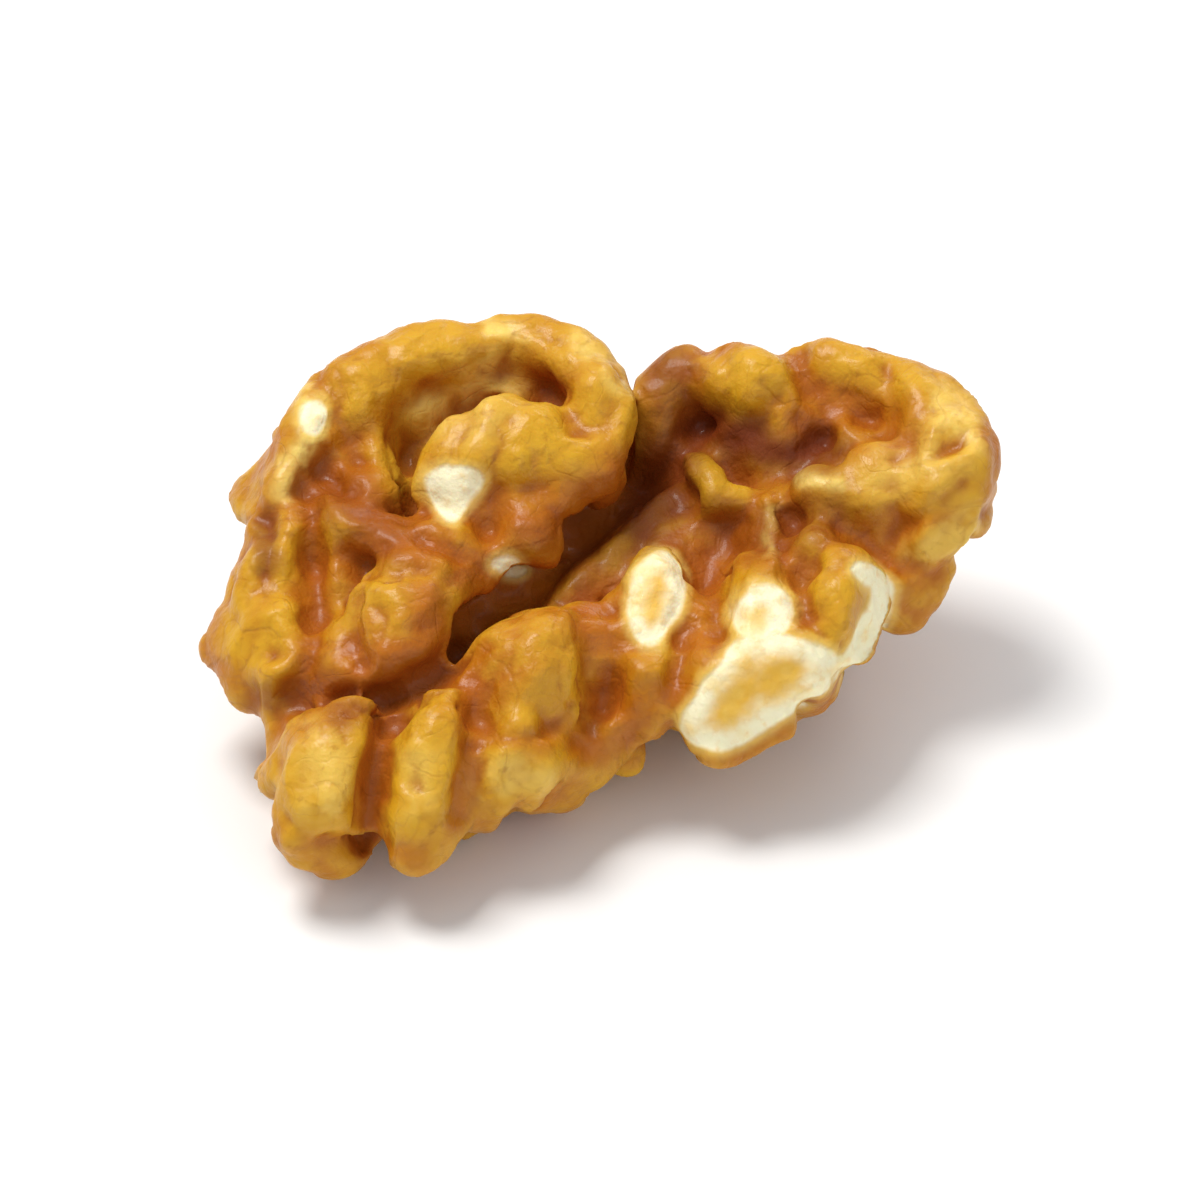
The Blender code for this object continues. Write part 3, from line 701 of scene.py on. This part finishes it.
BROKEN_SPOTS = (
    BrokenSpot(((-13.8, 8.2), (-12.9, 8.3), (-12.5, 7.5), (-12.9, 6.5), (-13.6, 6.6), (-14.0, 7.4)),
               core=0.6),
    BrokenSpot(((-8.4, 5.0), (-7.2, 5.4), (-5.9, 5.1), (-5.7, 4.5), (-6.4, 3.3), (-7.0, 2.7), (-7.9, 3.4),
                (-8.4, 4.2)), core=0.3),
    BrokenSpot(((-5.6, 0.9), (-4.8, 1.4), (-3.9, 1.1), (-4.0, 0.5), (-4.7, 0.3)), core=0.2),
    BrokenSpot(((1.3, 1.2), (2.2, 1.7), (3.0, 0.8), (3.1, -0.3), (2.6, -1.7), (1.7, -2.8), (0.9, -2.6),
                (0.4, -1.5), (0.5, -0.1), (0.8, 0.6)), core=1.15, level=0.8),
    BrokenSpot(((5.2, -0.6), (6.0, 0.1), (7.2, 0.0), (7.7, -0.8), (7.6, -1.9), (6.5, -2.3), (5.4, -2.2),
                (4.9, -1.5)), core=0.9),
    BrokenSpot(((2.7, -6.0), (2.9, -5.2), (4.4, -3.4), (4.9, -2.4), (6.0, -2.1), (7.7, -1.9), (8.8, -2.6),
                (9.8, -3.1), (10.3, -3.8), (8.8, -4.9), (6.5, -6.3), (4.9, -7.2), (3.7, -7.1), (2.8, -6.7)),
               core=1.0, level=0.9),
    BrokenSpot(((10.0, 0.8), (10.9, 1.1), (11.9, 0.6), (12.3, -0.3), (11.9, -1.8), (11.3, -3.0),
                (10.3, -3.9), (9.4, -4.1), (10.1, -2.8), (10.8, -1.5), (11.1, -0.3), (10.6, 0.2)), core=0.0),
)


@dataclass
class KernelHalf:
    """The kernel half: two lobes with curled rims either side of a deep furrow.

    Rounds say how often values are spread over the surface, as Sheet.averaged spreads them.
    """

    node: str = "kernel_half"
    slot: str = "kernel_half"
    skin: AmberSkin = field(default_factory=AmberSkin)
    strokes: tuple[Stroke, ...] = STROKES
    folds: tuple[Fold, ...] = FOLDS
    broken: tuple[BrokenSpot, ...] = BROKEN_SPOTS

    # The mesh's grain, and how the body is softened and then sharpened away from the broken spots
    voxel: float = 0.19
    soft_rounds: int = 4
    crispness: float = 1.2
    crisp_rounds: int = 30
    margin_rounds: int = 16
    margin_strength: float = 3.0

    # How the broken spots are levelled
    level_edge: float = 0.8
    level_core: float = 0.6
    steepest: float = 0.25
    steep_fade: float = 0.3
    level_reach: float = 1.2
    deepest_cut: float = 0.8
    highest_fill: float = 0.15
    level_rounds: int = 10
    level_fits: int = 3

    # How the tones and the broken spots wander and fade
    wander_size: float = 1.6
    stroke_wander: float = 0.5
    spot_wander: float = 0.18
    spot_fade: float = 1.1
    core_fade: float = 1.7
    cloud_size: float = 4.2

    # Pads with sharp valleys between them, grit, folds over the back, and chips in the broken spots
    bend_size: float = 3.0
    bend_reach: float = 0.8
    pad_size: float = 2.0
    pad_depth: float = 0.19
    pad_roundness: float = 0.75
    pad_floor: float = 0.35
    grit_size: float = 0.75
    grit_depth: float = 0.05
    fold_size: float = 3.6
    fold_width: float = 0.09
    fold_depth: float = 0.42
    chip_size: float = 0.6
    chip_grain: float = 0.08
    chip_depth: float = 0.10
    chip_from: float = 0.3
    chip_full: float = 0.7

    # How grooves, valleys and ridges are told: rounds of the shape they are measured from, and full depth
    groove: tuple[int, float] = (6, 0.05)
    valley: tuple[int, float] = (24, 0.13)
    ridge: tuple[int, float] = (60, 0.45)

    # How closed-in skin is found
    open_rays: int = 26
    ray_start: float = 0.06
    ray_reach: float = 7.0
    ray_fade: float = 0.6

    def build(self) -> bpy.types.Object:
        """Model and dress the kernel.

        Returns:
            The finished piece, riding on the root body in place of its solid.
        """
        kernel = self.copy_of_solid()
        self.refine(kernel)
        sheet = Sheet(kernel.data)
        sheet.places = sheet.averaged(sheet.places, self.soft_rounds)
        marks = self.tones(sheet)
        self.sharpen(sheet, marks["broken"])
        self.press_folds(sheet)
        self.level_spots(sheet)
        self.wrinkle(sheet, marks["broken"])
        self.fit_box(sheet)
        sheet.store()
        marks.update(self.depths(sheet))
        for name, values in marks.items():
            layer = sheet.mesh.attributes.new(name, "FLOAT", "POINT")
            layer.data.foreach_set("value", values.astype(np.float32))
        kernel.data.shade_smooth()
        kernel.data.materials.clear()
        kernel.data.materials.append(self.skin.material())
        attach(kernel, "root")
        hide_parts(self.node)
        return kernel

    def copy_of_solid(self) -> bpy.types.Object:
        """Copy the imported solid's mesh and close its seams.

        Returns:
            A new object at the origin.
        """
        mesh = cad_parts[self.node].data.copy()
        kernel = bpy.data.objects.new("kernel_skin", mesh)
        bpy.context.scene.collection.objects.link(kernel)
        body = bmesh.new()
        body.from_mesh(mesh)
        bmesh.ops.remove_doubles(body, verts=body.verts, dist=0.001 * MM)
        body.to_mesh(mesh)
        body.free()
        return kernel

    def refine(self, kernel: bpy.types.Object) -> None:
        """Give the kernel an even, fine grain.

        Args:
            kernel: The copy of the solid.
        """
        bpy.ops.object.select_all(action="DESELECT")
        kernel.select_set(True)
        bpy.context.view_layer.objects.active = kernel
        remesh = kernel.modifiers.new("grain", "REMESH")
        remesh.mode = "VOXEL"
        remesh.voxel_size = self.voxel * MM
        bpy.ops.object.modifier_apply(modifier=remesh.name)

    def tones(self, sheet: Sheet) -> dict[str, np.ndarray]:
        """Find which tones lie where, from the strokes and the broken spots.

        Args:
            sheet: The kernel's shape.

        Returns:
            A share for each vertex, by the tone's name.
        """
        across, up, _ = sheet.seen()
        wander = np.array([noise.noise_vector(Vector(place) / self.wander_size) for place in sheet.places])
        aside, along = wander[:, 0], wander[:, 1]
        facing = sheet.in_view()
        marks = {name: np.zeros(len(across)) for name in (*(tint.value for tint in Tint), "broken", "core")}
        for stroke in self.strokes:
            gap = distance_to_path(across + self.stroke_wander * aside, up + self.stroke_wander * along,
                                   stroke.points)
            share = stroke.strength * np.exp(-(gap / stroke.half_width) ** 3) * facing
            marks[stroke.tint.value] = np.maximum(marks[stroke.tint.value], share)
        for spot in self.broken:
            inside = depth_inside(across + self.spot_wander * aside, up + self.spot_wander * along,
                                  rounded(spot.outline))
            bare = np.clip(0.5 + inside / self.spot_fade, 0, 1) * facing
            marks["broken"] = np.maximum(marks["broken"], bare)
            marks["core"] = np.maximum(marks["core"], spot.core * np.clip(inside / self.core_fade, 0, 1))
        clouds = [noise.noise(Vector(place) / self.cloud_size) for place in sheet.places]
        marks["cloud"] = 0.5 + 0.5 * np.array(clouds)
        return marks

    def sharpen(self, sheet: Sheet, bare: np.ndarray) -> None:
        """Make the folds crisper, but not round the broken spots.

        Args:
            sheet: The kernel's shape.
            bare: How bare each vertex is, from 0 on skin to 1 on broken meat.
        """
        margin = np.clip(self.margin_strength * sheet.averaged(bare, self.margin_rounds), 0, 1)
        standing_out = sheet.places - sheet.averaged(sheet.places, self.crisp_rounds)
        sheet.places += self.crispness * (1 - margin)[:, None] * standing_out

    def press_folds(self, sheet: Sheet) -> None:
        """Raise the fine ridges and press the fine creases.

        Args:
            sheet: The kernel's shape.
        """
        across, up, _ = sheet.seen()
        normals = sheet.normals()
        facing = sheet.in_view()
        lift = np.zeros(len(across))
        for fold in self.folds:
            gap = distance_to_path(across, up, fold.points) / fold.half_width
            lift += fold.height * np.exp(-gap ** 2) * facing
        sheet.places += lift[:, None] * normals

    def level_spots(self, sheet: Sheet) -> None:
        """Level the broken spots that split off flat.

        Args:
            sheet: The kernel's shape.
        """
        for spot in (spot for spot in self.broken if spot.level):
            across, up, near = sheet.seen()
            turned = (sheet.normals() @ TOWARDS_CAMERA - self.steepest) / self.steep_fade
            share = np.clip(0.5 + depth_inside(across, up, rounded(spot.outline)) / self.level_edge, 0, 1)
            share *= sheet.averaged(np.clip(turned, 0, 1), 3)
            flat = np.stack([across, up, np.ones(len(across))], axis=1)
            core = share > self.level_core
            for _ in range(self.level_fits):
                plane = np.linalg.lstsq(flat[core], near[core], rcond=None)[0]
                gap = flat @ plane - near
                core = (share > self.level_core) & (np.abs(gap) < self.level_reach)
            shift = share * spot.level * np.clip(gap, -self.deepest_cut, self.highest_fill)
            sheet.places += sheet.averaged(shift, self.level_rounds)[:, None] * TOWARDS_CAMERA

    def wrinkle(self, sheet: Sheet, bare: np.ndarray) -> None:
        """Raise pads with sharp valleys between them, wind folds over the back, and chip the broken spots.

        Args:
            sheet: The kernel's shape.
            bare: How bare each vertex is, from 0 on skin to 1 on broken meat.
        """
        folded = self.fold_depth * (1 - sheet.in_view())
        chipped = np.clip((bare - self.chip_from) / (self.chip_full - self.chip_from), 0, 1)
        lift = np.empty(len(sheet.places))
        for row, place in enumerate(sheet.places):
            point = Vector(place)
            bent = point + self.bend_reach * noise.noise_vector(point / self.bend_size)
            pad = abs(noise.noise(bent / self.pad_size)) ** self.pad_roundness - self.pad_floor
            level = noise.noise(bent / self.fold_size) / self.fold_width
            skin = (self.pad_depth * pad + self.grit_depth * noise.noise(point / self.grit_size)
                    - folded[row] * math.exp(-level * level))
            chip = self.chip_grain * noise.noise(point / self.chip_size) - self.chip_depth
            lift[row] = skin + (chip - skin) * chipped[row]
        sheet.places += lift[:, None] * sheet.normals()

    def fit_box(self, sheet: Sheet) -> None:
        """Scale the shape by the last hair's breadth, so that it fills the solid's box.

        Args:
            sheet: The kernel's shape.
        """
        low, high = (np.array(corner) / MM for corner in CAD_BOX)
        own_low, own_high = sheet.places.min(axis=0), sheet.places.max(axis=0)
        sheet.places = low + (sheet.places - own_low) * (high - low) / (own_high - own_low)

    def depths(self, sheet: Sheet) -> dict[str, np.ndarray]:
        """Measure how deep in the folds the skin lies, for the painted shade in hollows, grooves and valleys
        and the painted highlight on ridges.

        Args:
            sheet: The kernel's shape.

        Returns:
            A share from 0 to 1 for each vertex: in a hollow, a fine groove or a valley, and on a ridge.
        """
        found = {"hollow": sheet.averaged(self.closed_in(sheet), 3)}
        for name, (rounds, depth) in (("groove", self.groove), ("valley", self.valley)):
            found[name] = -sheet.relief(rounds) / depth
        rounds, height = self.ridge
        found["ridge"] = sheet.relief(rounds) / height
        return {name: np.clip(values, 0, 1) for name, values in found.items()}

    def closed_in(self, sheet: Sheet) -> np.ndarray:
        """How much of the open air each vertex misses.

        Args:
            sheet: The kernel's shape.

        Returns:
            0 where nothing stands over the skin, and 1 deep in a fold.
        """
        tree = sheet.tree()
        spread = []
        for k in range(self.open_rays):
            lift = math.sqrt((k + 0.5) / self.open_rays)
            flat, turn = math.sqrt(1 - lift * lift), k * GOLDEN_ANGLE
            spread.append(Vector((flat * math.cos(turn), flat * math.sin(turn), lift)))
        closed = np.zeros(len(sheet.places))
        for row, (place, normal) in enumerate(zip(sheet.places, sheet.normals())):
            axis = Vector(normal)
            turn = axis.to_track_quat("Z", "Y")
            start = Vector(place) + axis * self.ray_start
            for way in spread:
                distance = tree.ray_cast(start, turn @ way, self.ray_reach)[3]
                if distance is not None:
                    closed[row] += 1 - self.ray_fade * distance / self.ray_reach
        return closed / self.open_rays


def rounded(outline: Path) -> Path:
    """Round off an outline's corners.

    Args:
        outline: The outline's corners.

    Returns:
        The corners of a smoother outline with four times as many.
    """
    for _ in range(2):
        corners = []
        for (x0, y0), (x1, y1) in zip(outline, (*outline[1:], outline[0])):
            corners.append((0.75 * x0 + 0.25 * x1, 0.75 * y0 + 0.25 * y1))
            corners.append((0.25 * x0 + 0.75 * x1, 0.25 * y0 + 0.75 * y1))
        outline = tuple(corners)
    return outline


def distance_to_path(across: np.ndarray, up: np.ndarray, points: Path) -> np.ndarray:
    """How far each place is from a line of straight stretches.

    Args:
        across: Places across, in millimetres.
        up: Places up, in millimetres.
        points: The line's corners.

    Returns:
        The distances, in millimetres.
    """
    nearest = np.full(len(across), np.inf)
    for (x0, y0), (x1, y1) in zip(points, points[1:]):
        dx, dy = x1 - x0, y1 - y0
        share = np.clip(((across - x0) * dx + (up - y0) * dy) / (dx * dx + dy * dy), 0, 1)
        nearest = np.minimum(nearest, np.hypot(across - x0 - share * dx, up - y0 - share * dy))
    return nearest


def depth_inside(across: np.ndarray, up: np.ndarray, outline: Path) -> np.ndarray:
    """How deep inside an outline each place is.

    Args:
        across: Places across, in millimetres.
        up: Places up, in millimetres.
        outline: The outline's corners.

    Returns:
        Millimetres from the outline, above 0 inside and below 0 outside.
    """
    closed = (*outline, outline[0])
    inside = np.zeros(len(across), dtype=bool)
    for (x0, y0), (x1, y1) in zip(closed, closed[1:]):
        if y0 != y1:
            crosses = (up > min(y0, y1)) & (up <= max(y0, y1))
            inside ^= crosses & (across < x0 + (up - y0) * (x1 - x0) / (y1 - y0))
    return np.where(inside, 1.0, -1.0) * distance_to_path(across, up, closed)


@dataclass(frozen=True)
class SoftLamp:
    """One square lamp that shines at the kernel: its place and side in metres, and its power in watts."""

    purpose: Lamp
    place: tuple[float, float, float]
    side: float
    power: float
    colour: Colour


@dataclass
class Studio:
    """The floor, the lamps, the light all round and the camera. Metres, but for the lens and the frame."""

    floor_size: float = 3.0
    board: PaleBoard = field(default_factory=PaleBoard)
    aim: tuple[float, float, float] = (0.0, 0.0, 0.007)
    lamps: tuple[SoftLamp, ...] = (
        SoftLamp(Lamp.KEY, (-0.13, 0.08, 0.38), 0.16, 1.30, (1.0, 0.985, 0.95)),
        SoftLamp(Lamp.FILL, (0.22, -0.32, 0.24), 0.36, 0.34, (1.0, 0.98, 0.96)),
        SoftLamp(Lamp.RIM, (0.14, 0.34, 0.22), 0.14, 0.26, (1.0, 0.99, 0.97)),
    )
    wall_colour: Colour = (0.95, 0.97, 1.0)
    wall_light: float = 0.50
    lens: float = 200.0
    frame_width: float = 52.0
    nearest: float = 0.01
    farthest: float = 20.0

    def build(self) -> list[bpy.types.Object]:
        """Set up the whole studio.

        Returns:
            The floor, the lamps and the camera.
        """
        self.light_walls()
        return [self.lay_floor(), *(self.hang_lamp(lamp) for lamp in self.lamps), self.set_camera()]

    def lay_floor(self) -> bpy.types.Object:
        """Lay the pale floor under the kernel.

        Returns:
            The floor.
        """
        bpy.ops.object.select_all(action="DESELECT")
        bpy.ops.mesh.primitive_plane_add(size=self.floor_size)
        floor = bpy.context.object
        floor.name = "floor"
        floor.data.materials.append(self.board.material())
        return floor

    def hang_lamp(self, lamp: SoftLamp) -> bpy.types.Object:
        """Hang one soft lamp that shines at the kernel.

        Args:
            lamp: The lamp.

        Returns:
            The lamp's object.
        """
        light = bpy.data.lights.new(f"{lamp.purpose.value}_lamp", "AREA")
        light.size, light.energy, light.color = lamp.side, lamp.power, lamp.colour
        holder = bpy.data.objects.new(light.name, light)
        bpy.context.scene.collection.objects.link(holder)
        holder.location = lamp.place
        holder.rotation_euler = (Vector(self.aim) - holder.location).to_track_quat("-Z", "Y").to_euler()
        return holder

    def light_walls(self) -> None:
        """Fill the room with soft white light."""
        world = bpy.data.worlds.new("room")
        bpy.context.scene.world = world
        world.use_nodes = True
        background = world.node_tree.nodes["Background"]
        background.inputs["Color"].default_value = (*self.wall_colour, 1.0)
        background.inputs["Strength"].default_value = self.wall_light

    def set_camera(self) -> bpy.types.Object:
        """Look at the kernel from the photograph's viewing angle.

        Returns:
            The camera.
        """
        low, high = CAD_BOX
        data = bpy.data.cameras.new("camera")
        data.lens, data.clip_start, data.clip_end = self.lens, self.nearest, self.farthest
        camera = bpy.data.objects.new("camera", data)
        bpy.context.scene.collection.objects.link(camera)
        back = Vector(TOWARDS_CAMERA)
        camera.location = (low + high) / 2 + back * (self.frame_width * MM * data.lens / data.sensor_width)
        camera.rotation_euler = (-back).to_track_quat("-Z", "Y").to_euler()
        bpy.context.scene.camera = camera
        bpy.context.scene.view_settings.view_transform = "Standard"
        return camera


def main() -> None:
    """Build the kernel and the studio round it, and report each."""
    logging.basicConfig(level=logging.INFO, format="%(name)s: %(message)s", stream=sys.stdout)
    noise.seed_set(SEED)
    kernel = KernelHalf().build()
    log.info("%s: %d faces, %s", kernel.name, len(kernel.data.polygons), kernel.data.materials[0].name)
    for thing in Studio().build():
        log.info("%s: set up", thing.name)


if __name__ == "__main__":
    main()
